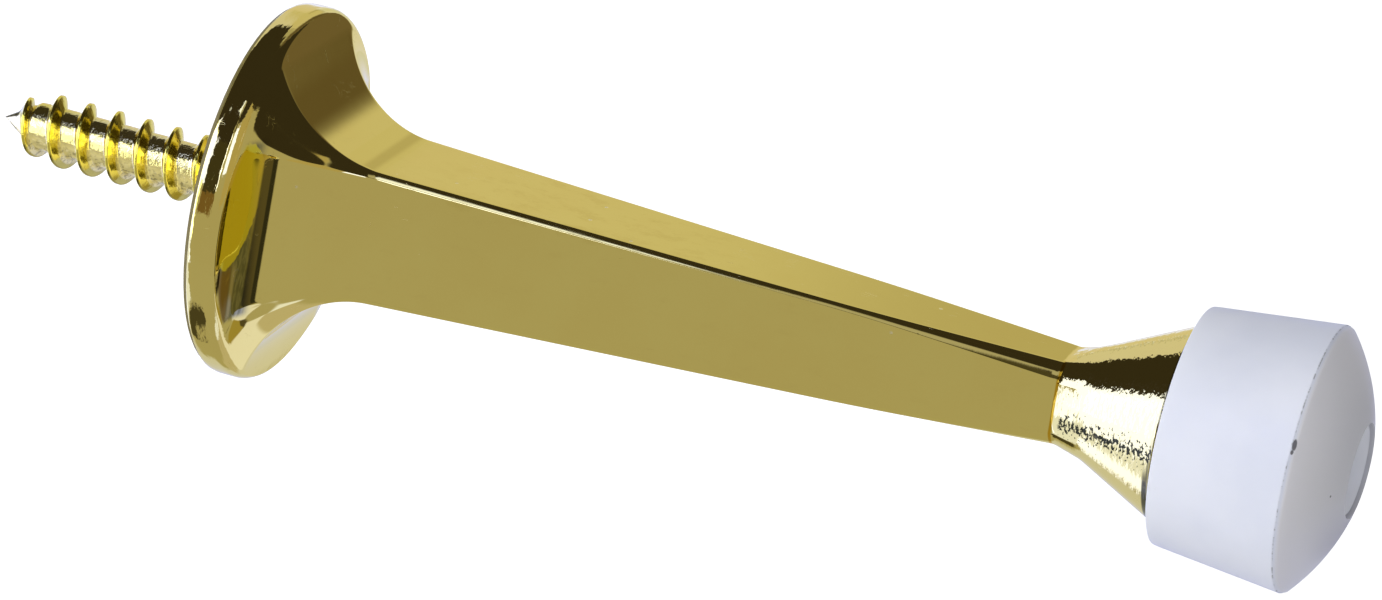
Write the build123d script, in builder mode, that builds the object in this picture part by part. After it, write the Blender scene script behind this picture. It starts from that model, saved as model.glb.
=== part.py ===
from build123d import *
from math import hypot
import os

os.makedirs("parts", exist_ok=True)

# Rigid door stop for a skirting board: a plated casting with a round flange and a tapering
# square shank, a wood screw set in its back, and a soft bumper pressed over a stem at its end.
# The wall face lies in x = 0 with the axis along +X, so the screw points to -X. Millimetres.

# Flange
flange_diameter = 25.4
flange_thickness = 2.25
rim_front_chamfer = 0.65
rim_back_chamfer = 0.3

# Shank: four flats that taper to the neck, and the turned corners between them
flats_at_wall = 9.9
flats_at_neck = 5.56
neck_distance = 57.4
flare_overrun = 0.22
bell_overrun = 1.82
corner_chamfer = 0.38
neck_chamfer = 1.1
neck_narrowing = 14.0
corner_blend_radius = 220.0
neck_overlap = 1.0

# Cone that widens from the neck to the bumper's seat
cone_length = 7.1
cone_end_diameter = 13.1
lip_width = 0.35

# Stem with a bead that holds the bumper
stem_diameter = 5.4
stem_length = 6.0
bead_diameter = 6.6
bead_width = 1.8
bead_chamfer = 0.45

# Wood screw
screw_length = 19.1
screw_crest_diameter = 4.8
screw_root_diameter = 3.2
thread_pitch = 2.15
crest_width = 0.22
ridge_base_width = 1.0
ridge_root_radius = 0.55
ridge_spare = 0.1
point_length = 2.5
plain_point = 1.66
nose_radius = 0.3
nose_lead = 0.2
shoulder_radius = 1.68
shoulder_setback = 0.3
thread_fade = 2.6
stud_diameter = 4.0
stud_length = 12.0
stud_chamfer = 0.3

# Relief round the screw in the wall face
relief_diameter = 7.2
relief_depth = 0.6

# Bumper
bumper_back_diameter = 15.7
bumper_front_diameter = 17.6
bumper_side_length = 8.75
crown_height = 2.95
front_hole_diameter = 5.9
bumper_back_chamfer = 0.2
bumper_front_chamfer = 0.25
hole_chamfer = 0.2

# Clearances
stud_clearance = 0.03
stem_clearance = 0.08

# Places that follow from the sizes
flange_radius = flange_diameter / 2
seat_x = neck_distance + cone_length
stem_end_x = seat_x + stem_length
bumper_rim_x = seat_x + bumper_side_length
projection = bumper_rim_x + crown_height
bore_end_x = relief_depth + stud_length + stud_clearance


def half_flats(x):
    """Distance of a flat from the axis, at a distance x from the wall."""
    return (flats_at_wall + (flats_at_neck - flats_at_wall) * x / neck_distance) / 2


def corner_radius(x, leg):
    """Radius of the turned corner that leaves a chamfer of this leg beside a flat."""
    return hypot(half_flats(x), half_flats(x) - leg)


# Casting: turned outline first, with the bell that sweeps from the flange into the corners
flare_radius = flange_radius + flare_overrun - half_flats(flange_thickness)
bell_radius = flange_radius + bell_overrun - corner_radius(flange_thickness, corner_chamfer)
tool_reach = flange_radius + flare_radius
narrowing_x = neck_distance - neck_narrowing
neck_radius = corner_radius(neck_distance, neck_chamfer)
lip_x = seat_x - lip_width
cone_slope = (cone_end_diameter / 2 - neck_radius) / (lip_x - neck_distance)
cone_apex_x = neck_distance - neck_radius / cone_slope
narrowing_slope = (neck_radius - corner_radius(narrowing_x, corner_chamfer)) / neck_narrowing
shank_end_x = neck_distance + neck_overlap

with BuildPart() as stop_body:
    with BuildSketch(Plane.XY) as turned:
        with BuildLine():
            bell = FilletPolyline(
                (flange_thickness, tool_reach),
                (flange_thickness, corner_radius(flange_thickness, corner_chamfer)),
                (narrowing_x, corner_radius(narrowing_x, corner_chamfer)),
                (shank_end_x, neck_radius + narrowing_slope * neck_overlap),
                radius=(bell_radius, corner_blend_radius),
            )
            Polyline(
                bell @ 1,
                (shank_end_x, 0),
                (0, 0),
                (0, tool_reach),
                bell @ 0,
            )
        make_face()
        # The rim's cylinder trims the bell
        Rectangle(shank_end_x, flange_radius, align=(Align.MIN, Align.MIN), mode=Mode.INTERSECT)
        rim = turned.vertices().group_by(Axis.Y)[-1].sort_by(Axis.X)
        chamfer(rim[0], rim_back_chamfer)
        rim = turned.vertices().group_by(Axis.Y)[-1].sort_by(Axis.X)
        chamfer(rim[-1], rim_front_chamfer)
    revolve(axis=Axis.X)

    # Four flats: each flares up to the flange in one arc
    flat_planes = [Plane.XZ.rotated((90 * side, 0, 0)) for side in range(4)]
    with BuildSketch(*flat_planes):
        with BuildLine():
            flare = FilletPolyline(
                (flange_thickness, tool_reach),
                (flange_thickness, half_flats(flange_thickness)),
                (seat_x, half_flats(seat_x)),
                radius=flare_radius,
            )
            Polyline(flare @ 1, (seat_x, tool_reach), flare @ 0)
        make_face()
    extrude(amount=tool_reach, both=True, mode=Mode.SUBTRACT)

    # Cone that grows out of the four flats, with the stem and its bead
    with BuildSketch(Plane.XY):
        with BuildLine():
            Polyline(
                (cone_apex_x, 0),
                (lip_x, cone_end_diameter / 2),
                (seat_x, cone_end_diameter / 2),
                (seat_x, stem_diameter / 2),
                (stem_end_x - bead_width, stem_diameter / 2),
                (stem_end_x - bead_width + bead_chamfer, bead_diameter / 2),
                (stem_end_x - bead_chamfer, bead_diameter / 2),
                (stem_end_x, bead_diameter / 2 - bead_chamfer),
                (stem_end_x, 0),
                close=True,
            )
        make_face()
    revolve(axis=Axis.X)

    # Relief and blind bore in the wall face
    with BuildSketch(Plane.YZ):
        Circle(relief_diameter / 2)
    extrude(amount=relief_depth, mode=Mode.SUBTRACT)
    with BuildSketch(Plane.YZ):
        Circle(stud_diameter / 2 + stud_clearance)
    extrude(amount=bore_end_x, mode=Mode.SUBTRACT)

stop_body.part.label = "stop_body"
export_step(stop_body.part, "parts/stop_body.step")


# Wood screw: a helical ridge, trimmed to the crest and to the fading start of the thread
crest_radius = screw_crest_diameter / 2
root_radius = screw_root_diameter / 2
thread_start_x = plain_point - screw_length

with BuildPart() as wood_screw:
    with BuildLine():
        thread_path = Helix(
            pitch=thread_pitch,
            height=relief_depth + thread_pitch / 2 - thread_start_x,
            radius=root_radius,
            center=(thread_start_x, 0, 0),
            direction=(1, 0, 0),
        )
    start = thread_path @ 0
    outward = Vector(0, start.Y, start.Z).normalized()
    ridge_plane = Plane(
        origin=(start.X, 0, 0), x_dir=outward, z_dir=outward.cross(Vector(1, 0, 0))
    )
    with BuildSketch(ridge_plane):
        with BuildLine():
            Polyline(
                (ridge_root_radius, -ridge_base_width / 2),
                (root_radius - ridge_spare, -ridge_base_width / 2),
                (crest_radius + ridge_spare, -crest_width / 2),
                (crest_radius + ridge_spare, crest_width / 2),
                (root_radius - ridge_spare, ridge_base_width / 2),
                (ridge_root_radius, ridge_base_width / 2),
                close=True,
            )
        make_face()
    sweep(path=thread_path, is_frenet=True)

    with BuildSketch(Plane.XY):
        with BuildLine():
            Polyline(
                (-screw_length, 0),
                (thread_start_x - nose_lead, nose_radius),
                (thread_start_x + shoulder_setback, shoulder_radius),
                (thread_start_x + thread_fade, crest_radius),
                (relief_depth, crest_radius),
                (relief_depth, 0),
                close=True,
            )
        make_face()
    revolve(axis=Axis.X, mode=Mode.INTERSECT)

    # Core, point and the plain stud that is set in the casting
    with BuildSketch(Plane.XY):
        with BuildLine():
            Polyline(
                (-screw_length, 0),
                (point_length - screw_length, root_radius),
                (relief_depth, root_radius),
                (relief_depth, stud_diameter / 2),
                (relief_depth + stud_length - stud_chamfer, stud_diameter / 2),
                (relief_depth + stud_length, stud_diameter / 2 - stud_chamfer),
                (relief_depth + stud_length, 0),
                close=True,
            )
        make_face()
    revolve(axis=Axis.X)

wood_screw.part.label = "wood_screw"
export_step(wood_screw.part, "parts/wood_screw.step")


# Bumper: a barrel with a domed front, a hole in the dome and a socket that follows the stem
bumper_front_radius = bumper_front_diameter / 2
front_hole_radius = front_hole_diameter / 2
dome_setback = (bumper_front_radius**2 - front_hole_radius**2) / crown_height - crown_height
dome_radius = hypot(bumper_front_radius, dome_setback / 2)
with BuildPart() as bumper:
    with BuildSketch(Plane.XY) as bumper_profile:
        with BuildLine():
            crown = RadiusArc(
                (bumper_rim_x, bumper_front_radius),
                (projection, front_hole_radius),
                dome_radius,
            )
            Polyline(
                crown @ 1,
                (stem_end_x + stem_clearance, front_hole_radius),
                (stem_end_x + stem_clearance, bead_diameter / 2 + stem_clearance),
                (stem_end_x - bead_width, bead_diameter / 2 + stem_clearance),
                (stem_end_x - bead_width, stem_diameter / 2 + stem_clearance),
                (seat_x, stem_diameter / 2 + stem_clearance),
                (seat_x, bumper_back_diameter / 2),
                crown @ 0,
            )
        make_face()
        outer = bumper_profile.vertices().sort_by(Axis.Y)
        chamfer(outer[-1], bumper_front_chamfer)
        outer = bumper_profile.vertices().group_by(Axis.X)[0].sort_by(Axis.Y)
        chamfer(outer[-1], bumper_back_chamfer)
        mouth = bumper_profile.vertices().group_by(Axis.X)[-1].sort_by(Axis.Y)
        chamfer(mouth[-1], hole_chamfer)
    revolve(axis=Axis.X)

bumper.part.label = "bumper"
export_step(bumper.part, "parts/bumper.step")
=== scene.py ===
from collections import namedtuple
from math import cos, hypot, pi, radians, sin, sqrt

import bmesh
import bpy
import numpy as np
from mathutils import Matrix, Vector


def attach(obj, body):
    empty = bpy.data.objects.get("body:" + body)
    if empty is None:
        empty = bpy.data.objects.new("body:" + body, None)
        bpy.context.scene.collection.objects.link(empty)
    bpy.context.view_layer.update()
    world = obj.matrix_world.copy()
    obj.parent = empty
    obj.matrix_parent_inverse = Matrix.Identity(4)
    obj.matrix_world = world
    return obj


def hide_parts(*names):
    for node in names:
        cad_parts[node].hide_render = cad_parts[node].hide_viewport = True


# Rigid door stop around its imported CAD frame. Lengths below are in millimetres and become
# metres in make_mesh. The wall face lies in x = 0, the axis along +X, +Z is up.

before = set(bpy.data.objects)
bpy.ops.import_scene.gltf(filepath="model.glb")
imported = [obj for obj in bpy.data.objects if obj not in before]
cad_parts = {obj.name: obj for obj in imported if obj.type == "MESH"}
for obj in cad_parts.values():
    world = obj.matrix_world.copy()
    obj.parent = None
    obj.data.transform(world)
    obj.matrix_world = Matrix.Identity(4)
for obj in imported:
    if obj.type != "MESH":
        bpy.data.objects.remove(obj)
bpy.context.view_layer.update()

MM = 0.001
IMAGE_WIDTH = 1382
SHARP_ANGLE = radians(40)
# In metres
MERGE_DISTANCE = 1e-7
SHORTEST_EDGE = 1e-8


def add_camera():
    """Perspective camera fitted to the outlines of flange, shank, cone and bumper."""
    azimuth, elevation, roll = radians(17.355), radians(20.049), radians(8.416)
    distance, focal_px = 413.87, 6343.9
    shift_right, shift_up = 0.605, -0.298
    target = Vector((30.0, 0.0, 0.0))
    back = Vector((sin(azimuth) * cos(elevation), -cos(azimuth) * cos(elevation), sin(elevation)))
    level = Vector((cos(azimuth), sin(azimuth), 0.0))
    upright = back.cross(level)
    right = level * cos(roll) + upright * sin(roll)
    up = upright * cos(roll) - level * sin(roll)
    place = (target + back * distance + right * shift_right + up * shift_up) * MM
    data = bpy.data.cameras.new("camera")
    data.sensor_width = 36.0
    data.lens = focal_px * data.sensor_width / IMAGE_WIDTH
    data.clip_start = 0.01
    data.clip_end = 20.0
    camera = bpy.data.objects.new("camera", data)
    matrix = Matrix((right, up, back)).transposed().to_4x4()
    matrix.translation = place
    camera.matrix_world = matrix
    bpy.context.scene.collection.objects.link(camera)
    bpy.context.scene.camera = camera


def make_mesh(name, points, faces):
    """Mesh object from points in millimetres: doubles merged, normals out, smooth shading."""
    mesh = bpy.data.meshes.new(name)
    mesh.from_pydata((points * MM).tolist(), [], faces.tolist())
    bm = bmesh.new()
    bm.from_mesh(mesh)
    bmesh.ops.remove_doubles(bm, verts=bm.verts, dist=MERGE_DISTANCE)
    bmesh.ops.dissolve_degenerate(bm, edges=bm.edges, dist=SHORTEST_EDGE)
    bmesh.ops.recalc_face_normals(bm, faces=bm.faces)
    bm.to_mesh(mesh)
    bm.free()
    mesh.shade_smooth()
    mesh.set_sharp_from_angle(angle=SHARP_ANGLE)
    obj = bpy.data.objects.new(name, mesh)
    bpy.context.scene.collection.objects.link(obj)
    return obj


def grid_faces(rows, columns, wrap):
    """Quads between the points of a grid that is stored row by row."""
    last = columns if wrap else columns - 1
    i = np.arange(rows - 1)[:, None] * columns
    j = np.arange(last)[None, :]
    k = (j + 1) % columns
    quads = np.stack([i + j, i + k, i + columns + k, i + columns + j], axis=-1)
    return quads.reshape(-1, 4)


def arc(centre, radius, first, last, count):
    """Points on an arc in the half-plane (x, r), angles in degrees from +x."""
    angles = np.radians(np.linspace(first, last, count))
    return [(centre[0] + radius * cos(a), centre[1] + radius * sin(a)) for a in angles]


# Casting sizes
FLANGE_R = 12.7
FLANGE_X = 2.25
RIM_ROUND = 1.0
BACK_CHAMFER = 0.3
RIM_CROWN = 0.25
RIM_CROWN_X = 0.8
FLARE_OVERRUN = 0.22
BELL_OVERRUN = 1.82
FLATS_WALL = 9.9
FLATS_NECK = 5.56
NECK_X = 57.4
CORNER_LEG = 0.38
NECK_LEG = 1.1
NARROWING_X = 43.4
CORNER_BLEND_R = 220.0
LIP_X = 64.15
SEAT_X = 64.5
CONE_R = 6.55
RELIEF_R = 3.6
RELIEF_X = 0.6
STEM_R = 2.7
BEAD_R = 3.3
BEAD_X = 68.7
BEAD_CHAMFER = 0.45
STEM_END_X = 70.5
EDGE_BLEND = 0.06
NECK_BLEND = 0.08
FLAT_END = 56.5
ROUND_FROM = 58.6
CONE_BLEND_X = NECK_X - 4
BACK_ROUND = 0.1
BACK_ROUND_R = FLANGE_R - BACK_CHAMFER - 0.04
BACK_CHAMFER_R = FLANGE_R - 0.21
RING_INNER_R = RELIEF_R + 0.3
RING_OUTER_R = FLANGE_R - BACK_CHAMFER - 0.2
RELIEF_ROUND = 0.08
RELIEF_EDGE = 0.06
LIP_ROUND = 0.03

# The flats' end waves a little round the axis
WAVE_HEIGHT = 0.04
WAVES_ROUND = 9
WAVE_START = 0.6

# Uneven buffing of the front flare: where it sets in and fades, and how far it shifts
SKEW_SETS_IN = (2.35, 3.1)
SKEW_FADES = (5.5, 9.5)
SKEW_SIDE_ANGLES = (34, 43)
SKEW_IN_MIDDLE = -0.07
SKEW_PER_MM = 0.045

# Rings of the casting's mesh: angles on the flare and on the rim's round, each as first,
# last and count, then how far and in how many rings the shank and the cone go on
FLARE_ANGLES = (0.4, 86, 116)
RIM_ANGLES = (6, 60, 10)
RIM_RINGS = 10
RING_STOPS = ((40, 36), (54, 22), (56.1, 8), (57.8, 41), (LIP_X - 0.02, 22))
FLAT_COLUMNS = 16
CORNER_COLUMNS = 12
CREASE_LIMITS = (radians(1.2), radians(43.9))

# Radii surely outside the casting, where the search for its surface starts
OUTSIDE_R = 16.0
OUTSIDE_FLAT_R = 30.0
HALVINGS = 44


def half_flats(x):
    return (FLATS_WALL + (FLATS_NECK - FLATS_WALL) * x / NECK_X) / 2


def corner_radius(x, leg):
    return np.hypot(half_flats(x), half_flats(x) - leg)


FLARE_R = FLANGE_R + FLARE_OVERRUN - half_flats(FLANGE_X)
BELL_R = FLANGE_R + BELL_OVERRUN - corner_radius(FLANGE_X, CORNER_LEG)


def line_through(p, q):
    """Slope, value at x = 0 and cosine of the slope's angle of a line in (x, r)."""
    slope = (q[1] - p[1]) / (q[0] - p[0])
    return slope, p[1] - slope * p[0], 1 / sqrt(1 + slope * slope)


FLAT_LINE = line_through((0, half_flats(0)), (NECK_X, half_flats(NECK_X)))
CORNER_LINE = line_through(
    (FLANGE_X, corner_radius(FLANGE_X, CORNER_LEG)),
    (NARROWING_X, corner_radius(NARROWING_X, CORNER_LEG)),
)
NECK_R = corner_radius(NECK_X, NECK_LEG)
NARROW_LINE = line_through(
    (NARROWING_X, corner_radius(NARROWING_X, CORNER_LEG)), (NECK_X, NECK_R)
)
CONE_LINE = line_through((NECK_X, NECK_R), (LIP_X, CONE_R))


def off_line(line, x, r):
    """Signed distance of (x, r) from a line, positive above it."""
    slope, start, cosine = line
    return (r - slope * x - start) * cosine


def smooth_max(a, b, width):
    h = np.maximum(width - np.abs(a - b), 0) / width
    return np.maximum(a, b) + h * h * width / 4


def smooth_min(a, b, width):
    return -smooth_max(-a, -b, width)


def swept(line, radius, x, r):
    """Distance from a curve that leaves the flange's plane in an arc and runs into a line."""
    slope, start, cosine = line
    cx = FLANGE_X + radius
    cr = slope * cx + start + radius / cosine
    touch_x = cx + radius * slope * cosine
    in_arc = radius - np.hypot(x - cx, r - cr)
    in_arc = np.where(r > cr, np.minimum(x - FLANGE_X, radius), in_arc)
    return np.where(x > touch_x, off_line(line, x, r), in_arc)


def rim_round():
    """Centre of the rim's front round, and where it meets the bell."""
    slope, start, cosine = CORNER_LINE
    cx = FLANGE_X + BELL_R
    cr = slope * cx + start + BELL_R / cosine
    fr = FLANGE_R - RIM_ROUND
    fx = cx - sqrt((BELL_R + RIM_ROUND) ** 2 - (cr - fr) ** 2)
    return fx, fr, fx + (cx - fx) * RIM_ROUND / (BELL_R + RIM_ROUND)


def turned_distance(x, r):
    """Distance from the casting's turned outline, in front of the flange's cylinder."""
    bell = swept(CORNER_LINE, BELL_R, x, r)
    # The corners bend inwards in a long arc between their two lines
    first, second = CORNER_LINE[0], NARROW_LINE[0]
    reach = CORNER_BLEND_R * (first - second) / 2
    part = np.clip((x - NARROWING_X + reach) / (2 * reach), 0, 1)
    bend = (second - first) * reach * part * part + (second - first) * np.maximum(
        x - NARROWING_X - reach, 0)
    shank = bell - bend * CORNER_LINE[2]
    fx, fr, end_x = rim_round()
    rim = np.where(r < fr, x - fx - RIM_ROUND, np.hypot(x - fx, r - fr) - RIM_ROUND)
    crown = RIM_CROWN * np.maximum(RIM_CROWN_X - x, 0) ** 2
    rim = np.where(x < fx, r - FLANGE_R + crown, rim)
    return np.where(x < end_x, rim, shank)


def flat_distance(x, r):
    """Distance from a flat with its flare at the flange."""
    return swept(FLAT_LINE, FLARE_R, x, r)


def cone_radius(x, phi):
    """Cone that starts from the shank's section, so that the flats end in a straight line."""
    section = np.minimum(half_flats(FLAT_END) / np.cos(phi), NECK_R)
    round_r = CONE_LINE[0] * ROUND_FROM + CONE_LINE[1]
    wave = WAVE_HEIGHT * np.sin(WAVES_ROUND * phi + WAVE_START)
    share = (x - FLAT_END + wave) / (ROUND_FROM - FLAT_END)
    start = section + (round_r - section) * np.minimum(share, 1.0)
    return np.where(x < ROUND_FROM, start, CONE_LINE[0] * x + CONE_LINE[1])


def casting_distance(x, r, phi):
    """Flats cut out of the turned shank, then the cone that grows out of them."""
    shank = smooth_max(turned_distance(x, r), flat_distance(x, r * np.cos(phi)), EDGE_BLEND)
    with_cone = smooth_min(shank, (r - cone_radius(x, phi)) * CONE_LINE[2], NECK_BLEND)
    return np.where(x > CONE_BLEND_X, with_cone, shank)


def solve_radius(distance, x, phi, high):
    """Radius where the distance is zero, by halving, for a whole grid."""
    low = np.zeros_like(x)
    high = np.full_like(x, high)
    for _ in range(HALVINGS):
        middle = (low + high) / 2
        outside = distance(x, middle, phi) > 0
        high = np.where(outside, middle, high)
        low = np.where(outside, low, middle)
    return (low + high) / 2


def crease_angle(x):
    """Angle from a flat's middle at which the flat meets the turned corner."""
    zero = np.zeros_like(x)
    turned = solve_radius(lambda a, r, p: turned_distance(a, r), x, zero, OUTSIDE_R)
    flat = solve_radius(lambda a, r, p: flat_distance(a, r), x, zero, OUTSIDE_FLAT_R)
    return np.arccos(np.clip(flat / turned, 0.0, 1.0))


def smoothstep(value, low, high):
    t = np.clip((value - low) / (high - low), 0, 1)
    return t * t * (3 - 2 * t)


def flare_skew(x, y, z):
    """The front flare was buffed unevenly: it lies further back below than above."""
    across = np.abs(np.degrees(np.arctan2(z, -y)))
    inside = smoothstep(x, *SKEW_SETS_IN) * (1 - smoothstep(x, *SKEW_FADES))
    inside = inside * (1 - smoothstep(across, *SKEW_SIDE_ANGLES))
    return inside * (SKEW_IN_MIDDLE + SKEW_PER_MM * z)


def casting_stations():
    """Places along the axis: rim, its round, the flare, the shank, the flats' end, the cone."""
    rim_x = rim_round()[0]
    round_angles = np.radians(np.linspace(*RIM_ANGLES))
    flare = FLANGE_X + FLARE_R * (1 - np.cos(np.radians(np.linspace(*FLARE_ANGLES))))
    stations = [np.linspace(BACK_CHAMFER, rim_x, RIM_RINGS)]
    stations += [rim_x + RIM_ROUND * np.sin(round_angles), flare]
    last = flare[-1]
    for stop, count in RING_STOPS:
        stations.append(np.linspace(last, stop, count)[1:])
        last = stop
    return np.unique(np.round(np.concatenate(stations), 6))


def eighth_angles(stations):
    """Angles from a flat's middle over the crease to the corner's middle, for each station."""
    crease = np.clip(crease_angle(np.minimum(stations, NECK_X)), *CREASE_LIMITS)
    t_flat = 1 - (1 - np.linspace(0, 1, FLAT_COLUMNS, endpoint=False)) ** 2
    t_corner = np.linspace(0, 1, CORNER_COLUMNS, endpoint=False) ** 1.5
    return np.concatenate([
        crease[:, None] * t_flat[None, :],
        crease[:, None] + (pi / 4 - crease[:, None]) * t_corner[None, :],
        np.full((len(stations), 1), pi / 4),
    ], axis=1)


def back_outline():
    """Wall face, from the relief's middle to the rim."""
    inner = RELIEF_R - RELIEF_ROUND
    outline = [(RELIEF_X, 0.0), (RELIEF_X, 1.5), (RELIEF_X, inner)]
    outline += arc((RELIEF_X - RELIEF_ROUND, inner), RELIEF_ROUND, 0, 90, 4)[1:]
    outline += arc((RELIEF_EDGE, RELIEF_R + RELIEF_EDGE), RELIEF_EDGE, 270, 180, 4)
    outline += [(0.0, r) for r in np.linspace(RING_INNER_R, RING_OUTER_R, 9)]
    outline += arc((BACK_ROUND, BACK_ROUND_R), BACK_ROUND, 180, 135, 4)
    outline += [(BACK_CHAMFER / 2, BACK_CHAMFER_R)]
    return outline


def front_outline():
    """Lip, seat, stem and bead, from the cone's end to the axis."""
    return [
        (LIP_X, CONE_R),
        (LIP_X + 0.1, CONE_R),
        (SEAT_X - LIP_ROUND, CONE_R),
        (SEAT_X, CONE_R - LIP_ROUND),
        (SEAT_X, 4.0),
        (SEAT_X, STEM_R),
        (66.5, STEM_R),
        (BEAD_X, STEM_R),
        (BEAD_X + BEAD_CHAMFER, BEAD_R),
        (STEM_END_X - BEAD_CHAMFER, BEAD_R),
        (STEM_END_X, BEAD_R - BEAD_CHAMFER),
        (STEM_END_X, 1.2),
        (STEM_END_X, 0.0),
    ]


def build_casting():
    stations = casting_stations()
    eighth = eighth_angles(stations)
    mirror = eighth[:, -2:0:-1]
    quarter = np.concatenate([eighth, pi / 2 - mirror], axis=1)
    near_flat = np.concatenate([eighth, mirror], axis=1)
    x = np.repeat(stations[:, None], quarter.shape[1], axis=1)
    radius = solve_radius(casting_distance, x, near_flat, OUTSIDE_R)
    phi = np.concatenate([quarter + pi / 2 * side for side in range(4)], axis=1)
    rows = [np.stack([np.tile(x, (1, 4)), np.tile(radius, (1, 4)), phi])]
    for outline, row_phi, place in ((back_outline(), phi[0], 0), (front_outline(), phi[-1], 2)):
        outline = np.array(outline)
        shape = (len(outline), len(row_phi))
        ring = np.stack([
            np.broadcast_to(outline[:, :1], shape),
            np.broadcast_to(outline[:, 1:], shape),
            np.broadcast_to(row_phi, shape),
        ])
        rows.insert(place, ring)
    x, radius, phi = np.concatenate(rows, axis=1)
    # Angle 0 is the middle of the front flat, which faces -Y
    points = np.stack([x, -radius * np.cos(phi), radius * np.sin(phi)], axis=-1)
    points[..., 0] += flare_skew(*np.moveaxis(points, -1, 0))
    return make_mesh("brass_casting", points.reshape(-1, 3), grid_faces(*x.shape, True))


# Screw sizes
SCREW_TIP = -19.1
SCREW_END = 0.62
CREST_R = 2.4
ROOT_R = 1.6
PITCH = 2.15
CREST_W = 0.22
RIDGE_W = 1.0
POINT = 2.5
PLAIN_POINT = 1.66
THREAD_X = SCREW_TIP + PLAIN_POINT
SCREW_LEAN = radians(0.8)
CREST_BLEND = 0.06
ROOT_BLEND = 0.14
TURN_STEPS = 96
# One thread section, from the crest's middle to the root's middle
HALF_SECTION = (0, .05, .09, .11, .13, .17, .22, .28, .34, .40, .45, .50, .56, .64, .75, .90,
                PITCH / 2)
# How deep the ridge is sunk near the thread's start, so that it rises within about one turn
SINK_FROM_START = (-1.2, -0.2, 0.9, 2.0)
SINK_DEPTH = (2.4, 0.72, 0.3, 0)


def build_screw():
    steps = (int((SCREW_END - THREAD_X) / PITCH) + 3) * TURN_STEPS
    side = np.array(HALF_SECTION)
    across = np.concatenate([-side[:0:-1], side])
    theta = 2 * pi * (np.arange(steps + 1) / TURN_STEPS)
    along = THREAD_X - PITCH + PITCH * theta / (2 * pi)
    x = np.clip(along[:, None] + across[None, :], SCREW_TIP, SCREW_END)
    lead = x - along[:, None]
    lead = (lead + PITCH / 2) % PITCH - PITCH / 2
    core = np.interp(x, [SCREW_TIP, SCREW_TIP + POINT, SCREW_END], [0, ROOT_R, ROOT_R])
    sunk = np.interp(along, THREAD_X + np.array(SINK_FROM_START), SINK_DEPTH)
    rise = (RIDGE_W / 2 - np.abs(lead)) / (RIDGE_W - CREST_W) * 2
    ridge = ROOT_R + (CREST_R - ROOT_R) * rise
    ridge = smooth_min(ridge, CREST_R, CREST_BLEND) - sunk[:, None]
    radius = smooth_max(core, ridge, ROOT_BLEND)
    radius = np.where(x <= SCREW_TIP, 0.0, np.minimum(radius, CREST_R))
    phase = theta[:, None] + pi / 2
    points = np.stack([x, radius * np.cos(phase), radius * np.sin(phase)], axis=-1)
    # The screw leans a little: its point stands higher than the casting's axis
    points[..., 2] -= np.minimum(points[..., 0], 0) * sin(SCREW_LEAN)
    faces = grid_faces(steps + 1, len(across), False)
    return make_mesh("brass_screw", points.reshape(-1, 3), faces)


# Bumper sizes
BACK_R = 7.85
FRONT_R = 8.8
RIM_X = 73.25
TIP_X = 76.2
HOLE_R = 2.95
BUMPER_BACK_ROUND = 0.1
BUMPER_EDGE_ROUND = 0.16
EDGE_CENTRE_R = FRONT_R - BUMPER_EDGE_ROUND * 1.12
MOUTH_ROUND = 0.26
MOUTH_CENTRE_X = TIP_X - 0.33
SOCKET_GAP = 0.08
SOCKET_MOUTH_X = SEAT_X + 0.1
SOCKET_MOUTH_R = STEM_R + 0.2
BUMPER_SEGMENTS = 160
# Where the bumper's back and the wall of its hole get rings of their own
BACK_RINGS_R = (3.5, 5.0, 6.4, 7.2, 7.5)
HOLE_RINGS_X = (75.4, 74.0, 72.5, STEM_END_X + 0.2)


def bumper_outline():
    """Closed outline of the bumper in (x, r): back, side, dome, hole and socket."""
    setback = (FRONT_R ** 2 - HOLE_R ** 2) / (TIP_X - RIM_X) - (TIP_X - RIM_X)
    dome_r = hypot(FRONT_R, setback / 2)
    dome_x = RIM_X - setback / 2
    outline = [
        (BEAD_X, STEM_R + SOCKET_GAP),
        (SOCKET_MOUTH_X, STEM_R + SOCKET_GAP),
        (SEAT_X, SOCKET_MOUTH_R),
    ]
    outline += [(SEAT_X, r) for r in BACK_RINGS_R]
    back = (SEAT_X + BUMPER_BACK_ROUND, BACK_R - BUMPER_BACK_ROUND)
    outline += arc(back, BUMPER_BACK_ROUND, 180, 96, 6)
    for share in np.linspace(0.06, 0.93, 26):
        outline.append((SEAT_X + share * (RIM_X - SEAT_X), BACK_R + share * (FRONT_R - BACK_R)))
    # Rounded edge between the side and the dome
    side_angle = np.degrees(np.arctan2(FRONT_R - BACK_R, RIM_X - SEAT_X))
    last_angle = np.degrees(np.arctan2(FRONT_R, RIM_X - dome_x)) - 2
    centre = (RIM_X - BUMPER_EDGE_ROUND, EDGE_CENTRE_R)
    edge = arc(centre, BUMPER_EDGE_ROUND, 90 + side_angle, last_angle, 9)
    outline += edge
    first = np.degrees(np.arctan2(edge[-1][1], edge[-1][0] - dome_x))
    last = np.degrees(np.arcsin((HOLE_R + 0.2) / dome_r))
    outline += arc((dome_x, 0), dome_r, first - 0.6, last, 30)
    outline += arc((MOUTH_CENTRE_X, HOLE_R + MOUTH_ROUND), MOUTH_ROUND, 70, 270, 9)[3:]
    outline += [(x, HOLE_R) for x in HOLE_RINGS_X]
    outline += [
        (STEM_END_X + SOCKET_GAP, HOLE_R + 0.1),
        (STEM_END_X + SOCKET_GAP, BEAD_R + SOCKET_GAP),
        (BEAD_X, BEAD_R + SOCKET_GAP),
    ]
    return np.array(outline + [outline[0]])


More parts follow.
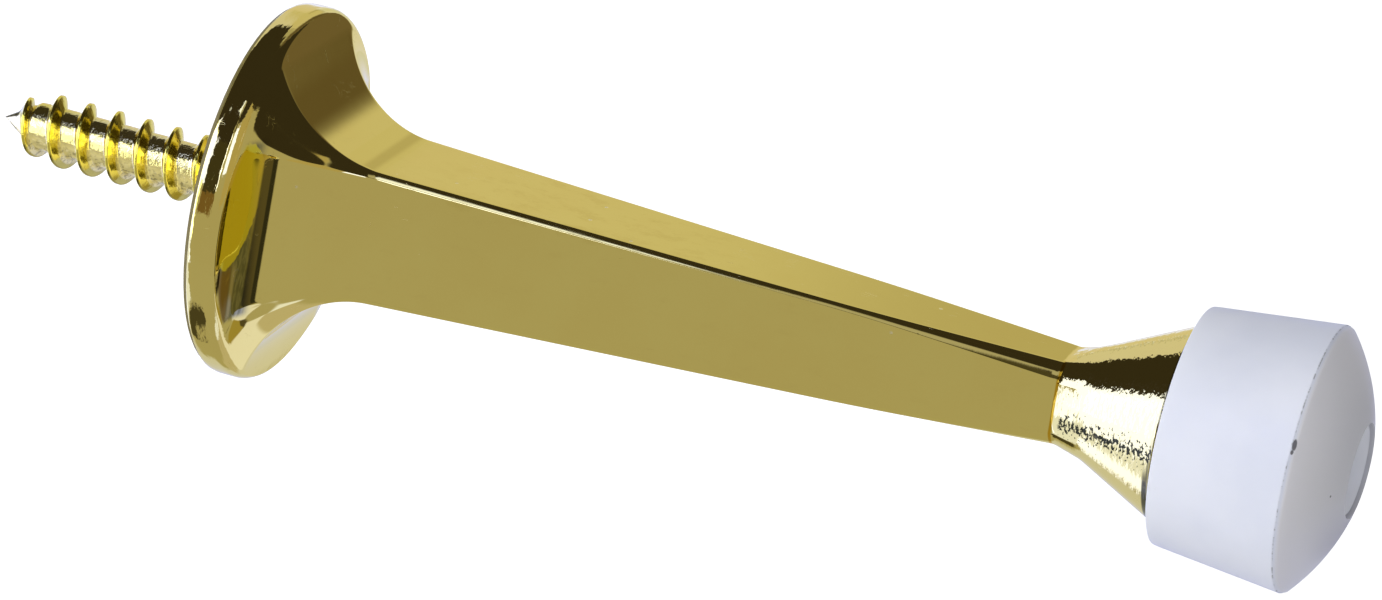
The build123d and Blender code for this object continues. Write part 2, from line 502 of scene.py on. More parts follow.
def build_bumper():
    outline = bumper_outline()
    phi = 2 * pi * np.arange(BUMPER_SEGMENTS) / BUMPER_SEGMENTS
    x = np.repeat(outline[:, :1], BUMPER_SEGMENTS, axis=1)
    r = np.repeat(outline[:, 1:], BUMPER_SEGMENTS, axis=1)
    points = np.stack([x, -r * np.cos(phi), r * np.sin(phi)], axis=-1)
    return make_mesh("vinyl_bumper", points.reshape(-1, 3), grid_faces(*x.shape, True))


class Nodes:
    """Short calls for making and linking the nodes of one tree."""

    def __init__(self, tree):
        self.tree = tree
        tree.nodes.clear()

    def add(self, kind, **settings):
        node = self.tree.nodes.new(kind)
        for key, value in settings.items():
            setattr(node, key, value)
        return node

    def put(self, value, socket):
        if isinstance(value, bpy.types.NodeSocket):
            self.tree.links.new(value, socket)
        else:
            socket.default_value = value

    def math(self, operation, a, b=0.0, c=0.0, clamp=False):
        node = self.add("ShaderNodeMath", operation=operation, use_clamp=clamp)
        for value, socket in zip((a, b, c), node.inputs):
            self.put(value, socket)
        return node.outputs[0]

    def dot(self, a, direction):
        node = self.add("ShaderNodeVectorMath", operation="DOT_PRODUCT")
        self.put(a, node.inputs[0])
        node.inputs[1].default_value = direction
        return node.outputs["Value"]

    def ramp(self, value, low, high, out_low=0.0, out_high=1.0):
        """Smooth step from one value to another."""
        node = self.add("ShaderNodeMapRange", interpolation_type="SMOOTHSTEP")
        for key, number in (("From Min", low), ("From Max", high),
                            ("To Min", out_low), ("To Max", out_high)):
            node.inputs[key].default_value = number
        self.put(value, node.inputs["Value"])
        return node.outputs["Result"]

    def between(self, value, low, high, soft):
        """1 between two values, with soft edges."""
        return self.times(self.ramp(value, low - soft, low + soft),
                          self.ramp(value, high + soft, high - soft))

    def times(self, *shares):
        """Product of two or more values."""
        product = shares[0]
        for share in shares[1:]:
            product = self.math("MULTIPLY", product, share)
        return product

    def line(self, value, slope, start):
        return self.math("MULTIPLY_ADD", value, slope, start)

    def mix(self, factor, a, b):
        node = self.add("ShaderNodeMix", data_type="RGBA")
        for value, socket in ((factor, node.inputs[0]), (a, node.inputs[6]), (b, node.inputs[7])):
            self.put(value, socket)
        return node.outputs[2]

    def noise(self, coords, scale, detail=2.0, roughness=0.5, distortion=0.0):
        node = self.add("ShaderNodeTexNoise")
        self.put(coords, node.inputs["Vector"])
        for key, number in (("Scale", scale), ("Detail", detail), ("Roughness", roughness),
                            ("Distortion", distortion)):
            node.inputs[key].default_value = number
        return node.outputs[0]

    def cells(self, coords, scale):
        """Distance from the middle of a cell, and the cell's colour."""
        node = self.add("ShaderNodeTexVoronoi")
        self.put(coords, node.inputs["Vector"])
        node.inputs["Scale"].default_value = scale
        return node.outputs["Distance"], node.outputs["Color"]

    def scaled(self, coords, scale, turn=(0, 0, 0), offset=(0, 0, 0)):
        node = self.add("ShaderNodeMapping")
        self.put(coords, node.inputs["Vector"])
        node.inputs["Scale"].default_value = scale
        node.inputs["Rotation"].default_value = turn
        node.inputs["Location"].default_value = offset
        return node.outputs[0]

    def bump(self, height, distance, strength=1.0, normal=None):
        node = self.add("ShaderNodeBump")
        self.put(height, node.inputs["Height"])
        node.inputs["Distance"].default_value = distance
        node.inputs["Strength"].default_value = strength
        if normal is not None:
            self.put(normal, node.inputs["Normal"])
        return node.outputs[0]

    def parts(self, vector):
        """The vector's X, Y and Z."""
        node = self.add("ShaderNodeSeparateXYZ")
        self.put(vector, node.inputs[0])
        return node.outputs

    def joined(self, x, y):
        node = self.add("ShaderNodeCombineXYZ")
        self.put(x, node.inputs[0])
        self.put(y, node.inputs[1])
        return node.outputs[0]

    def spot(self, coords, centre, size):
        """1 inside a small ellipsoid."""
        offset = tuple(-c / s for c, s in zip(centre, size))
        away = self.scaled(coords, tuple(1 / s for s in size), offset=offset)
        length = self.add("ShaderNodeVectorMath", operation="LENGTH")
        self.put(away, length.inputs[0])
        return self.ramp(length.outputs["Value"], 1.15, 0.75)


def rgb(r, g, b):
    return (r, g, b, 1.0)


def new_material(name):
    material = bpy.data.materials.new(name)
    material.use_nodes = True
    nodes = Nodes(material.node_tree)
    output = nodes.add("ShaderNodeOutputMaterial")
    shader = nodes.add("ShaderNodeBsdfPrincipled")
    nodes.tree.links.new(shader.outputs[0], output.inputs[0])
    coords = nodes.scaled(nodes.add("ShaderNodeTexCoord").outputs["Object"], (1000, 1000, 1000))
    return material, nodes, shader, coords


# A point of the surface in millimetres, and what a finish makes of it
Place = namedtuple("Place", "mm x y z radius")
Finish = namedtuple("Finish", "base coarse hairs dull metallic gloss")

# Brass tones
BRASS = rgb(0.90, 0.735, 0.205)
BRASS_DEEP = rgb(0.89, 0.715, 0.195)
TARNISH = rgb(0.80, 0.62, 0.17)
PIT_PALE = rgb(0.95, 0.86, 0.52)
# Brass keeps its colour towards the edges, so the edge tint holds the blue back
EDGE_TINT = rgb(1.0, 0.96, 0.66)
# Painted reflection and shade at the front flare's foot: a yellow ellipse of light mirrored
# twice, and dark tones round it
FOOT_PAINTED_YELLOW = rgb(0.88, 0.745, 0.06)
FOOT_PAINTED_DARK = rgb(0.20, 0.19, 0.10)
FOOT_PAINTED_GREY = rgb(0.32, 0.30, 0.17)
FOOT_PAINTED_BROWN = rgb(0.30, 0.19, 0.06)
FOOT_PAINTED_TAN = rgb(0.50, 0.43, 0.26)
BLOOM = rgb(0.70, 0.52, 0.11)
CONE_MARK = rgb(0.035, 0.033, 0.012)
END_PAINTED_HIGHLIGHT = rgb(0.72, 0.42, 0.02)
LIP_GOLD = rgb(0.45, 0.38, 0.12)
LIP_LINE_SHADE = rgb(0.06, 0.05, 0.02)
RIM_EDGE_SHADE = rgb(0.07, 0.06, 0.03)
SCREW_PALE = rgb(0.92, 0.80, 0.34)
SCREW_DEEP = rgb(0.90, 0.76, 0.28)
FLANK_GLINT = rgb(0.88, 0.72, 0.11)
FLANK_SHADE = rgb(0.50, 0.41, 0.08)
SCREW_SPECK = rgb(0.32, 0.28, 0.13)
POINT_TOP_SHADE = rgb(0.08, 0.06, 0.015)
POINT_OUTLINE_SHADE = rgb(0.10, 0.09, 0.05)

# Places of the casting's marks in millimetres. A pair is where a soft edge starts and where
# it ends, or the two sides of a band.
CONE_COARSE_X = (55.9, 57.0)
CONE_COARSE_Z = (-0.2, 0.7)
RIM_COARSE_R = (11.7, 12.2)
FOOT_X = (1.4, 3.2)
FOOT_Y = (-7.6, -8.8)
FOOT_Z = (-5.9, 6.4)
FOOT_R = (12.2, 11.9)
YELLOW_SPOT_Y = -10.71
YELLOW_SPOT_Z = 2.2
YELLOW_SPOT_LEAN = -0.12
YELLOW_SPOT_HALF_Y = 1.75
YELLOW_SPOT_HALF_Z = 4.3
FOOT_LOW_Z = (-1.4, -2.6)
FOOT_BROWN_Y = (-10.0, -10.5)
FOOT_TAN_Y = (-10.2, -9.8)
BLOOM_X = (13.0, 33.0)
BLOOM_Z = (3.2, 3.7)
CONE_FRONT_Y = (-1.5, -2.0)
CONE_MARKS_X = (56.9, 57.2)
GOLD_END_X = (56.42, 56.62)
LIP_EDGE_X = (LIP_X - 0.06, LIP_X + 0.02)
LIP_SHADE_X = (63.96, 64.12)
LIP_SHADE_Z = (2.4, -3.0)
WIDE_LIP_SHADE_X = (63.72, 64.12)
WIDE_LIP_SHADE_Z = (-0.6, -2.2)
RIM_BACK_X = (0.36, 0.30)
RIM_BACK_R = (12.0, 12.3)
# Slope and start of the line in (x, z) that the dark marks on the cone follow
CONE_MARKS_LINE = (0.105, -6.85)

# Places of the screw's marks, in the same form
COARSE_ROOT_R = (1.6, 2.1)
FLANK_R = (1.8, 2.7)
FLANK_Z = (-0.3, -1.6)
SPECKS_Z = (0.3, -0.9)
SPECKS_R = (1.9, 1.7)
POINT_X = (-17.85, -18.0)
POINT_SOFT = (-0.03, 0.03)
THIN_PLATING_Z = (0.5, -0.3)
THIN_PLATING_R = (1.95, 1.7)
# Slopes and starts of the lines in (x, z) above and under which the point is painted dark as
# shade
POINT_TOP_LINE = (0.49, 9.55)
POINT_EDGE_LINE = (-0.33, -6.04)

# Light scratches on the casting, each with its centre and half sizes
SCRATCHES = (
    ((2.84, 1.25, 9.58), (0.25, 0.07, 0.60)),
    ((33.46, -1.65, 3.68), (0.30, 0.05, 0.10)),
    ((11.9, -4.55, 2.0), (0.26, 0.12, 0.05)),
    ((9.6, -4.6, 1.1), (0.05, 0.12, 0.16)),
    ((11.2, -4.55, 2.7), (0.14, 0.12, 0.06)),
    ((13.2, -4.5, -0.1), (0.07, 0.12, 0.07)),
)


def place_on(n, mm):
    x, y, z = n.parts(mm)
    squares = n.math("ADD", n.math("POWER", y, 2.0), n.math("POWER", z, 2.0))
    return Place(mm, x, y, z, n.math("SQRT", squares))


def pits_and_scratches(n, mm):
    """Small hollows in some cells, and thin ridges of a stretched noise in a few patches."""
    distance, colour = n.cells(mm, 0.55)
    chosen = n.ramp(n.dot(colour, (1.0, 0.0, 0.0)), 0.66, 0.70)
    pit = n.times(n.ramp(distance, 0.09, 0.03), chosen)
    lines = n.noise(n.scaled(mm, (0.35, 2.2, 2.2), (0.3, 0.5, 0.6)), 0.8, 1.0, 0.4, 0.1)
    line = n.ramp(n.math("ABSOLUTE", n.math("SUBTRACT", lines, 0.5)), 0.004, 0.0)
    patch = n.ramp(n.noise(n.scaled(mm, (1, 1, 1), offset=(7, 3, 1)), 0.5, 1.0), 0.62, 0.68)
    return pit, n.times(line, patch)


def brass_material(name, finish_of, haze, depth):
    """Plated brass: mirror polish, coarser where it was not buffed, sparse pits and scratches."""
    material, n, shader, mm = new_material(name)
    finish = finish_of(n, place_on(n, mm))
    mottle = n.noise(n.scaled(mm, (0.5, 1.4, 1.4)), 0.9, 5.0, 0.65)
    pit, scratch = pits_and_scratches(n, mm)
    base = n.mix(n.ramp(mottle, 0.55, 0.8, 0.0, 0.25), finish.base, TARNISH)
    base = n.mix(n.times(pit, 0.6), base, PIT_PALE)
    n.put(base, shader.inputs["Base Color"])
    n.put(finish.metallic, shader.inputs["Metallic"])
    n.put(finish.gloss, shader.inputs["Specular IOR Level"])
    shader.inputs["Specular Tint"].default_value = EDGE_TINT
    rough = n.ramp(mottle, 0.3, 0.8, haze, 1.8 * haze)
    rough = n.math("ADD", rough, n.times(n.math("ADD", pit, scratch), 0.25))
    n.put(n.math("ADD", rough, finish.dull), shader.inputs["Roughness"])
    wave = n.bump(n.noise(mm, 0.30, 2.0), 0.012 * MM, 0.3)
    peel = n.bump(n.times(finish.hairs, finish.coarse), depth * MM, 1.0, wave)
    pits = n.bump(pit, -0.02 * MM, 0.8, peel)
    n.put(n.bump(scratch, 0.004 * MM, 0.5, pits), shader.inputs["Normal"])
    return material


def foot_painted_reflections(n, p, base):
    """Front flare's foot: a painted reflection, a yellow ellipse of light mirrored twice, with
    painted shade and dark reflections round it.
    """
    foot = n.times(n.between(p.x, *FOOT_X, 0.3), n.ramp(p.y, *FOOT_Y),
                   n.ramp(p.radius, *FOOT_R), n.between(p.z, *FOOT_Z, 0.3))
    # The ellipse leans: its middle moves inwards with height
    off_middle = n.math("ADD", p.y, n.line(p.z, YELLOW_SPOT_LEAN, -YELLOW_SPOT_Y))
    across = n.math("POWER", n.math("DIVIDE", off_middle, YELLOW_SPOT_HALF_Y), 2.0)
    above = n.math("SUBTRACT", p.z, YELLOW_SPOT_Z)
    upward = n.math("POWER", n.math("DIVIDE", above, YELLOW_SPOT_HALF_Z), 2.0)
    uneven = n.times(n.math("SUBTRACT", n.noise(p.mm, 2.2, 3.0, 0.6), 0.5), 0.35)
    patch = n.math("ADD", n.math("ADD", across, upward), uneven)
    # Painted shade round the ellipse: dark and grey streaks, brown and tan in its lower part
    streak = n.noise(n.scaled(p.mm, (3.0, 3.0, 0.7)), 1.6, 3.0, 0.6)
    foot_paint = n.mix(n.ramp(streak, 0.4, 0.65), FOOT_PAINTED_DARK, FOOT_PAINTED_GREY)
    low = n.ramp(p.z, *FOOT_LOW_Z)
    foot_paint = n.mix(n.times(low, n.ramp(p.y, *FOOT_BROWN_Y)), foot_paint, FOOT_PAINTED_BROWN)
    foot_paint = n.mix(n.times(low, n.between(p.y, *FOOT_TAN_Y, 0.15)), foot_paint, FOOT_PAINTED_TAN)
    return n.mix(foot, base, n.mix(n.ramp(patch, 1.06, 0.96), foot_paint, FOOT_PAINTED_YELLOW))


def cone_details(n, p, round_axis, base):
    """Cone: a broken line of dark marks, a painted orange-gold highlight where the flats end, a
    darker lip, and a painted shade line just before the lip.
    """
    off_line = n.math("ABSOLUTE", n.math("SUBTRACT", p.z, n.line(p.x, *CONE_MARKS_LINE)))
    marks = n.noise(n.scaled(round_axis, (1.5, 1.9, 1.0)), 1.0, 2.0, 0.6)
    marks = n.math("SUBTRACT", marks, n.times(off_line, 0.21))
    front = n.ramp(p.y, *CONE_FRONT_Y)
    marks = n.times(n.ramp(marks, 0.44, 0.47), n.ramp(p.x, *CONE_MARKS_X), front)
    base = n.mix(marks, base, CONE_MARK)
    # Painted highlight: an orange-gold line on the front where the flats end
    base = n.mix(n.times(n.between(p.x, *GOLD_END_X, 0.04), front), base, END_PAINTED_HIGHLIGHT)
    base = n.mix(n.ramp(p.x, *LIP_EDGE_X), base, LIP_GOLD)
    # Painted shade: a dark line on the cone just before the lip, wider and darker towards the
    # bottom
    thin = n.times(n.between(p.x, *LIP_SHADE_X, 0.03), n.ramp(p.z, *LIP_SHADE_Z))
    wide = n.times(n.between(p.x, *WIDE_LIP_SHADE_X, 0.08), n.ramp(p.z, *WIDE_LIP_SHADE_Z))
    return n.mix(n.math("MAXIMUM", thin, wide), base, LIP_LINE_SHADE)


def casting_finish(n, p):
    """Casting: polished, apart from the cone and the rim, which were not buffed."""
    cone = n.times(n.ramp(p.x, *CONE_COARSE_X), n.ramp(p.z, *CONE_COARSE_Z, 0.25, 1.0))
    rim = n.times(n.ramp(p.radius, *RIM_COARSE_R), 0.3)
    coarse = n.math("MAXIMUM", n.math("MAXIMUM", cone, rim), 0.01)
    # Hair-fine marks run round the axis
    around = n.times(n.math("ARCTAN2", p.z, n.times(p.y, -1.0)), p.radius)
    round_axis = n.joined(n.times(p.x, 3.4), n.times(around, 1.6))
    hairs = n.noise(round_axis, 1.0, 2.0, 0.5)
    base = n.mix(n.ramp(n.noise(p.mm, 0.16, 4.0, 0.6), 0.35, 0.7), BRASS, BRASS_DEEP)
    base = foot_painted_reflections(n, p, base)
    # Brownish bloom on the upper flat
    bloom = n.ramp(n.noise(n.scaled(p.mm, (0.7, 1.0, 1.0)), 0.7, 5.0, 0.7), 0.48, 0.66)
    bloom = n.times(bloom, n.between(p.x, *BLOOM_X, 5.0), n.ramp(p.z, *BLOOM_Z))
    base = n.mix(n.times(bloom, 0.30), base, BLOOM)
    base = cone_details(n, p, round_axis, base)
    # Painted shade: the rim's back edge is painted dark and made dull, a dark outline along it
    edge = n.times(n.ramp(p.x, *RIM_BACK_X), n.ramp(p.radius, *RIM_BACK_R))
    base = n.mix(n.times(edge, 0.85), base, RIM_EDGE_SHADE)
    scratched = 0.0
    for centre, size in SCRATCHES:
        scratched = n.math("MAXIMUM", scratched, n.spot(p.mm, centre, size))
    dull = n.math("ADD", n.times(bloom, 0.05), n.times(scratched, 0.4))
    return Finish(base, coarse, hairs, dull, n.line(edge, -0.8, 1.0), n.line(edge, -0.5, 0.5))


def screw_finish(n, p):
    """Screw: duller and coarse all over, most on its root."""
    root = n.ramp(p.radius, *COARSE_ROOT_R, 1.0, 0.35)
    base = n.mix(n.ramp(n.noise(p.mm, 0.5, 4.0, 0.6), 0.35, 0.7), SCREW_PALE, SCREW_DEEP)
    # Painted reflection: the flanks and crests are yellow, as light mirrored between flank and
    # root, with painted shade on their lower side
    tone = n.mix(n.ramp(p.z, *FLANK_Z), FLANK_GLINT, FLANK_SHADE)
    base = n.mix(n.between(p.radius, *FLANK_R, 0.06), base, tone)
    specks = n.times(n.ramp(n.noise(p.mm, 3.6, 2.0, 0.6), 0.54, 0.60),
                     n.ramp(p.z, *SPECKS_Z), n.ramp(p.radius, *SPECKS_R))
    base = n.mix(n.times(specks, 0.75), base, SCREW_SPECK)
    # Point: painted shade along its top, and a painted dark outline along its lower edge
    point = n.ramp(p.x, *POINT_X)
    over_top = n.math("SUBTRACT", p.z, n.line(p.x, *POINT_TOP_LINE))
    base = n.mix(n.times(point, n.ramp(over_top, *POINT_SOFT)), base, POINT_TOP_SHADE)
    under_edge = n.math("SUBTRACT", n.line(p.x, *POINT_EDGE_LINE), p.z)
    point_outline_shade = n.times(point, n.ramp(under_edge, *POINT_SOFT))
    base = n.mix(point_outline_shade, base, POINT_OUTLINE_SHADE)
    # The lower half of the root is thinly plated
    thin = n.times(n.ramp(p.z, *THIN_PLATING_Z, 0.0, 0.5), n.ramp(p.radius, *THIN_PLATING_R))
    metallic = n.math("SUBTRACT", 1.0, n.math("MAXIMUM", thin, point_outline_shade))
    gloss = n.line(point_outline_shade, -0.5, 0.5)
    return Finish(base, root, n.noise(p.mm, 3.2, 2.0, 0.55), n.times(root, 0.02), metallic, gloss)


# Vinyl tones
VINYL = rgb(0.70, 0.73, 0.83)
VINYL_LIGHT = rgb(0.76, 0.785, 0.87)
VINYL_SCUFFED = rgb(0.62, 0.63, 0.68)
DOME_INNER = rgb(0.70, 0.705, 0.745)
DOME_OUTER = rgb(0.79, 0.785, 0.815)
DOME_LOW_SHADE = rgb(0.50, 0.485, 0.50)
DIRT = rgb(0.16, 0.16, 0.18)
HOLE_GLOW = rgb(0.86, 0.90, 1.0)

# Places of the vinyl's marks in millimetres, in the same form as the casting's
DOME_X = (RIM_X - 0.05, RIM_X + 0.25)
DOME_R = (3.0, 8.0)
DOME_LOW_Z = (-1.0, -6.0)
DOME_LOW_R = (7.2, 3.6)
DIRT_LINE_X = (RIM_X - 0.16, RIM_X - 0.06)
DIRT_LINE_R = (FRONT_R - 0.07, FRONT_R + 0.1)
GLOW_X = (69.0, 75.5)
GLOW_R = (HOLE_R + 0.25, HOLE_R + 0.02)

# A scuff in two parts on the front edge, and a dot on the dome
DIRT_SPOTS = (
    ((73.31, -7.87, 3.57), (0.14, 0.3, 0.42)),
    ((73.27, -8.05, 3.15), (0.10, 0.2, 0.16)),
    ((75.56, -4.99, -0.23), (0.08, 0.08, 0.08)),
)


def vinyl_dirt(n, p):
    """A broken line along the front edge, and the dark spots."""
    edge = n.times(n.between(p.radius, *DIRT_LINE_R, 0.02), n.ramp(p.x, *DIRT_LINE_X))
    broken = n.ramp(n.noise(n.scaled(p.mm, (0.2, 1.0, 1.0)), 1.1, 5.0, 0.75), 0.48, 0.60)
    dirt = n.times(edge, broken, 0.7)
    for centre, size in DIRT_SPOTS:
        dirt = n.math("MAXIMUM", dirt, n.spot(p.mm, centre, size))
    return dirt


def vinyl_material():
    """Soft off-white vinyl: satin, slightly translucent, with light scuffs."""
    material, n, shader, mm = new_material("bumper_vinyl")
    p = place_on(n, mm)
    cloud = n.noise(mm, 0.13, 3.0, 0.55)
    scuff = n.noise(n.scaled(mm, (1.0, 1.0, 2.2), (0.4, 0.2, 0.9)), 0.8, 6.0, 0.7)
    base = n.mix(n.ramp(cloud, 0.3, 0.7), VINYL, VINYL_LIGHT)
    base = n.mix(n.times(n.ramp(scuff, 0.62, 0.74), 0.18), base, VINYL_SCUFFED)
    # The dome is warmer and greyer, palest towards its rim
    dome = n.mix(n.ramp(p.radius, *DOME_R), DOME_INNER, DOME_OUTER)
    # Painted shade: the dome's lower part is darker, most towards the hole
    low = n.times(n.ramp(p.z, *DOME_LOW_Z), n.ramp(p.radius, *DOME_LOW_R))
    dome = n.mix(low, dome, DOME_LOW_SHADE)
    base = n.mix(n.ramp(p.x, *DOME_X), base, dome)
    n.put(n.mix(vinyl_dirt(n, p), base, DIRT), shader.inputs["Base Color"])
    n.put(n.ramp(cloud, 0.3, 0.7, 0.36, 0.5), shader.inputs["Roughness"])
    shader.inputs["IOR"].default_value = 1.45
    shader.inputs["Specular IOR Level"].default_value = 0.35
    shader.inputs["Subsurface Weight"].default_value = 0.25
    shader.inputs["Subsurface Radius"].default_value = (0.9, 0.9, 1.0)
    shader.inputs["Subsurface Scale"].default_value = 0.0012
    # Painted light: the wall of the hole glows a little, as if lit through the vinyl
    through = n.times(n.ramp(p.radius, *GLOW_R), n.ramp(p.x, *GLOW_X, 0.0, 0.15))
    shader.inputs["Emission Color"].default_value = HOLE_GLOW
    n.put(through, shader.inputs["Emission Strength"])
    soft = n.bump(n.noise(mm, 0.5, 3.0, 0.6), 0.03 * MM, 0.4)
    n.put(n.bump(n.noise(mm, 6.0, 2.0), 0.004 * MM, 0.3, soft), shader.inputs["Normal"])
    return material


# Tones of the room of cards
BRIGHT = rgb(1.35, 1.6, 4.4)
CREAM = rgb(0.89, 1.02, 2.2)
PALE = rgb(0.76, 0.80, 1.25)
PALE_FLOOR = rgb(0.65, 0.71, 1.25)
OLIVE = rgb(0.43, 0.425, 0.42)
BROWN = rgb(0.125, 0.10, 0.07)
SHADE = rgb(0.07, 0.065, 0.05)
CEILING = rgb(0.035, 0.03, 0.025)
WHITE = rgb(1.0, 1.0, 1.0)
FILL_LOW = rgb(0.38, 0.38, 0.39)
FILL_HIGH = rgb(0.46, 0.46, 0.47)

# Turns, in degrees to the right of the front, that many cards share
SEAM = 200
FAR_LEFT = -114
FAR_RIGHT = 98


class Room:
    """Cards round the object, each over the ones before it, by turn and height in degrees."""

    def __init__(self, nodes, turn, height):
        self.nodes, self.turn, self.height = nodes, turn, height
        self.colour = OLIVE

    def card(self, turns, heights, colour, soft=1.5, height_soft=None):
        """A card between two turns and two heights, with soft edges."""
        n = self.nodes
        inside = n.times(n.between(self.turn, *turns, soft),
                         n.between(self.height, *heights, height_soft or soft))
        self.colour = n.mix(inside, self.colour, colour)

    def slope(self, turns, start, rise, colour, soft=1.2, side=1):
        """Everything above (side 1) or under (side -1) a sloping line, between two turns."""
        n = self.nodes
        line = n.line(self.turn, rise, start - rise * turns[0])
        inside = n.ramp(n.math("SUBTRACT", self.height, line), -soft * side, soft * side)
        inside = n.times(inside, n.ramp(self.turn, turns[0] - 1, turns[0] + 1),
                         n.ramp(self.turn, turns[1] + 1, turns[1] - 1))
        self.colour = n.mix(inside, self.colour, colour)


def cards_behind_and_left(room):
    """Pale backdrop behind, white cards on the left with two narrow dark ones between them."""
    room.card((-SEAM, FAR_LEFT), (17, 50), rgb(0.70, 0.72, 1.05))
    room.card((-SEAM, -156), (16, 50), rgb(0.62, 0.61, 0.60), 3)
    room.card((-SEAM, FAR_LEFT), (-21, 14), CREAM, 3)
    room.card((-164, -149), (0, 20), rgb(0.71, 0.69, 0.84), 3)
    room.card((-SEAM, FAR_LEFT), (-58, -21), PALE_FLOOR, 3)
    room.card((-171, -165.5), (14, 27), rgb(0.51, 0.49, 0.46), 1.5)
    room.card((-115, -49), (-50, 46), BRIGHT)
    room.card((-50, -29.5), (12, 38.5), BRIGHT, 1)
    room.card((-18, -14.5), (12, 45), rgb(2.6, 3.0, 7.0), 0.8)
    room.card((-30, -18.5), (8, 50), rgb(0.05, 0.045, 0.03), 1)
    room.card((-30, -18.5), (-3, 9), rgb(0.18, 0.12, 0.06), 1)
    room.card((-SEAM, -166), (-21, 14), rgb(0.70, 0.75, 1.0), 3)
    room.card((-174, -151), (-33, -8), rgb(0.74, 0.77, 1.05), 3)
    room.card((-52, -41), (-32, -2), BRIGHT, 1)
    room.slope((-117, -48), -83.5, 1.15, CREAM, 1.5, -1)
    room.card((-SEAM, -48), (-95, -54), OLIVE, 2)
    room.card((-SEAM, FAR_LEFT), (-58, -21), PALE_FLOOR, 3)
    room.card((-108, -42), (-68.5, -57), SHADE)


def cards_in_front(room):
    """A white lamp above the grey table."""
    room.card((1, 29), (22, 50), BRIGHT)
    room.card((29, 85), (1, 52), rgb(0.46, 0.41, 0.30), 2)


def cards_on_the_right(room):
    """Pale floor, dark wall."""
    room.card((FAR_RIGHT, SEAM), (-70, -46), rgb(0.54, 0.53, 0.66), 3)
    room.card((FAR_RIGHT, SEAM), (-47, -28), rgb(0.85, 0.92, 1.7))
    room.card((78, 101), (-70, -50), CREAM, 3)
    room.card((166, SEAM), (16, 50), rgb(0.63, 0.62, 0.64), 3)
    room.card((160, SEAM), (-50, -18), rgb(0.68, 0.73, 1.25), 3)
    room.card((167, SEAM), (-20, 15), PALE, 3)
    room.card((148, 165.5), (-19, 70), BROWN, 6, 2)
    room.card((148, 160), (-20, -4), rgb(0.16, 0.13, 0.105), 3)
    room.card((87.5, 108), (-31, -8), rgb(0.09, 0.08, 0.055), 1)
    room.card((87.5, 92.5), (-27, -8), rgb(0.03, 0.03, 0.025), 0.7)
    room.card((103, 140), (-30, -16), rgb(0.36, 0.31, 0.12), 1.5)
    room.card((126, 149), (-15, 56), rgb(0.05, 0.04, 0.03), 2)
    room.slope((62, 148), 56, -0.93, CEILING)


def cards_overhead(room):
    """Dark ceiling, with a few paler cards near the front."""
    room.slope((-160, -118), 42, 0.0, CEILING)
    room.slope((-123, -81), 18.5, 0.0, CEILING)
    room.slope((-82, -46), 19.5, 0.84, CEILING)
    room.slope((-47, -20), 38.5, 0.0, CEILING)
    room.card((-21, 150), (53, 95), CEILING)
    room.card((-190, -20), (60, 95), CEILING)
    room.card((148, 190), (66, 95), CEILING, 3)
    room.card((-14.5, -3), (12, 48), OLIVE, 1)
    room.card((-14.5, -3), (48, 60), SHADE, 1)
    room.card((-36.5, -24.5), (55.5, 64.5), rgb(1.1, 1.3, 3.0), 0.8)
    room.card((-24.5, -9), (57, 66.5), rgb(0.44, 0.45, 0.55), 1)


def studio_world():
    """White backdrop for the camera, a room of cards for reflections, plain fill light."""
    world = bpy.data.worlds.new("studio")
    world.use_nodes = True
    bpy.context.scene.world = world
    n = Nodes(world.node_tree)
    x, y, z = n.parts(n.add("ShaderNodeTexCoord").outputs["Generated"])
    turn = n.times(n.math("ARCTAN2", x, n.times(y, -1.0)), 180 / pi)
    height = n.times(n.math("ARCSINE", z), 180 / pi)
    room = Room(n, turn, height)
    cards_behind_and_left(room)
    cards_in_front(room)
    cards_on_the_right(room)
    cards_overhead(room)
    path = n.add("ShaderNodeLightPath")
    seen = n.math("ADD", path.outputs["Is Glossy Ray"], path.outputs["Is Transmission Ray"],
                  clamp=True)
    fill = n.mix(n.ramp(height, -40.0, 40.0), FILL_LOW, FILL_HIGH)
    colour = n.mix(seen, fill, room.colour)
    background = n.add("ShaderNodeBackground")
    n.put(n.mix(path.outputs["Is Camera Ray"], colour, WHITE), background.inputs["Color"])
    output = n.add("ShaderNodeOutputWorld")
    n.tree.links.new(background.outputs[0], output.inputs[0])


# Floor and lamps, in metres and watts
FLOOR_COLOUR = rgb(0.9, 0.9, 0.9)
FLOOR_GLOW = 0.60
FLOOR_HALF = 4.0
FLOOR_Z = -0.06
SCENE_MIDDLE = (0.03, 0.0, 0.0)
CARD_CENTRE = (-0.0325, -0.0350, 0.010)
CARD_FACES = (0.022, 0.035, -0.010)
CARD_SIZE = (0.024, 0.050)
CARD_RADIANCE = 1.5
CARD_COLOUR = (0.85, 0.95, 1.0)


def floor_material():
    """Plain white floor that glows for the camera, so that it joins the backdrop."""
    material = bpy.data.materials.new("floor_white")
    material.use_nodes = True
    n = Nodes(material.node_tree)
    output = n.add("ShaderNodeOutputMaterial")
    diffuse = n.add("ShaderNodeBsdfDiffuse")
    diffuse.inputs["Color"].default_value = FLOOR_COLOUR
    glow = n.add("ShaderNodeEmission")
    path = n.add("ShaderNodeLightPath")
    seen = n.math("ADD", path.outputs["Is Camera Ray"], path.outputs["Is Glossy Ray"])
    seen = n.math("ADD", seen, path.outputs["Is Transmission Ray"], clamp=True)
    n.put(n.times(seen, FLOOR_GLOW), glow.inputs["Strength"])
    both = n.add("ShaderNodeAddShader")
    n.tree.links.new(diffuse.outputs[0], both.inputs[0])
    n.tree.links.new(glow.outputs[0], both.inputs[1])
    n.tree.links.new(both.outputs[0], output.inputs[0])
    return material


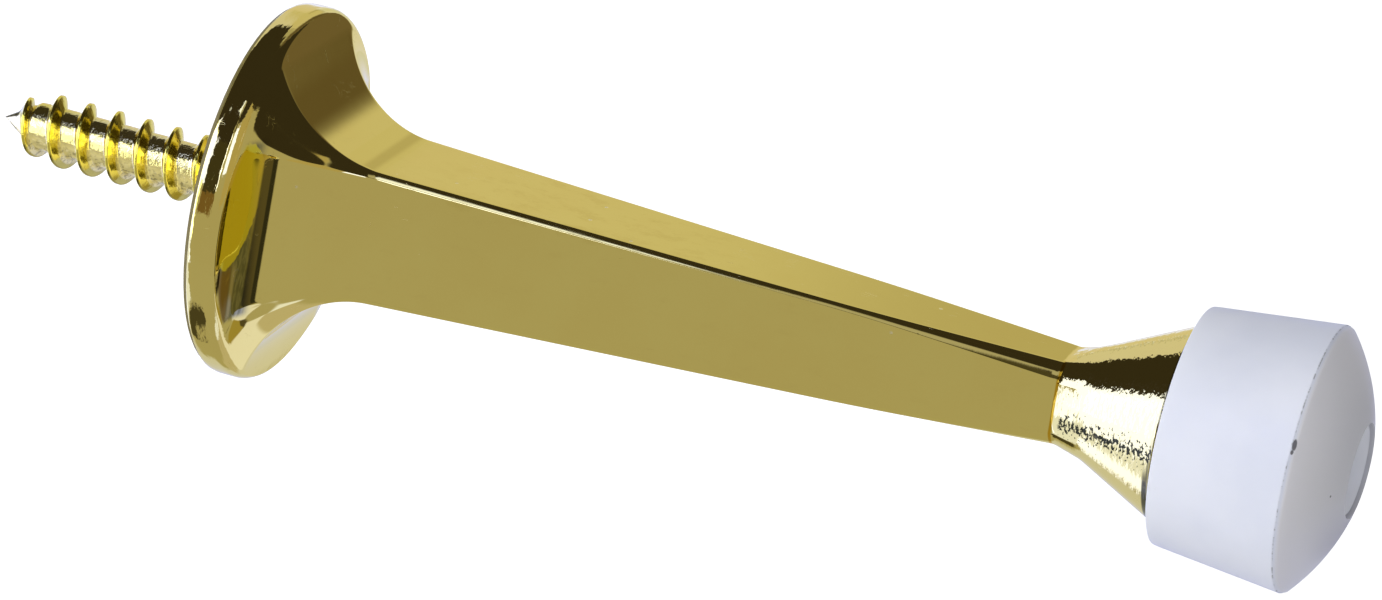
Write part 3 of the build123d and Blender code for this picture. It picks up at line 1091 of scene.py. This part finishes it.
def add_floor():
    mesh = bpy.data.meshes.new("floor")
    signs = ((-1, -1), (1, -1), (1, 1), (-1, 1))
    corners = [(a * FLOOR_HALF, b * FLOOR_HALF, FLOOR_Z) for a, b in signs]
    mesh.from_pydata(corners, [], [(0, 1, 2, 3)])
    floor = bpy.data.objects.new("floor", mesh)
    bpy.context.scene.collection.objects.link(floor)
    mesh.materials.append(floor_material())
    # The reflections come from the room of cards alone
    floor.visible_glossy = False


def area_lamp(name, shape, place, facing):
    data = bpy.data.lights.new(name, "AREA")
    data.shape = shape
    lamp = bpy.data.objects.new(name, data)
    lamp.location = place
    lamp.rotation_mode = "QUATERNION"
    lamp.rotation_quaternion = facing.to_track_quat("-Z", "Y")
    bpy.context.scene.collection.objects.link(lamp)
    return lamp, data


def add_lamp(name, place, size, power):
    """Round soft lamp that lights the object but isn't mirrored in it."""
    lamp, data = area_lamp(name, "DISK", place, Vector(SCENE_MIDDLE) - Vector(place))
    data.size = size
    data.energy = power
    lamp.visible_glossy = False


def add_screw_card():
    """Small card beside the screw: it shows in the screw's root, not in the casting."""
    card, data = area_lamp("screw_card", "RECTANGLE", CARD_CENTRE, Vector(CARD_FACES))
    data.size, data.size_y = CARD_SIZE
    data.energy = pi * data.size * data.size_y * CARD_RADIANCE
    data.color = CARD_COLOUR
    card.visible_camera = False
    card.visible_diffuse = False


def add_studio():
    studio_world()
    add_floor()
    add_lamp("key_lamp", place=(-0.36, -0.78, 0.26), size=0.5, power=4.9)
    add_lamp("top_lamp", place=(0.05, 0.25, 0.9), size=0.6, power=0.5)
    add_screw_card()
    bpy.context.scene.view_settings.view_transform = "Standard"


add_camera()
brass = brass_material("plated_brass", casting_finish, haze=0.03, depth=0.030)
screw_brass = brass_material("screw_brass", screw_finish, haze=0.10, depth=0.045)
pieces = (
    (build_casting(), "stop_body", "plated_brass", brass),
    (build_screw(), "wood_screw", "screw_brass", screw_brass),
    (build_bumper(), "bumper", "bumper_vinyl", vinyl_material()),
)
for piece, node, slot, material in pieces:
    piece.data.materials.clear()
    piece.data.materials.append(material)
    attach(piece, "root")
    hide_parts(node)
add_studio()
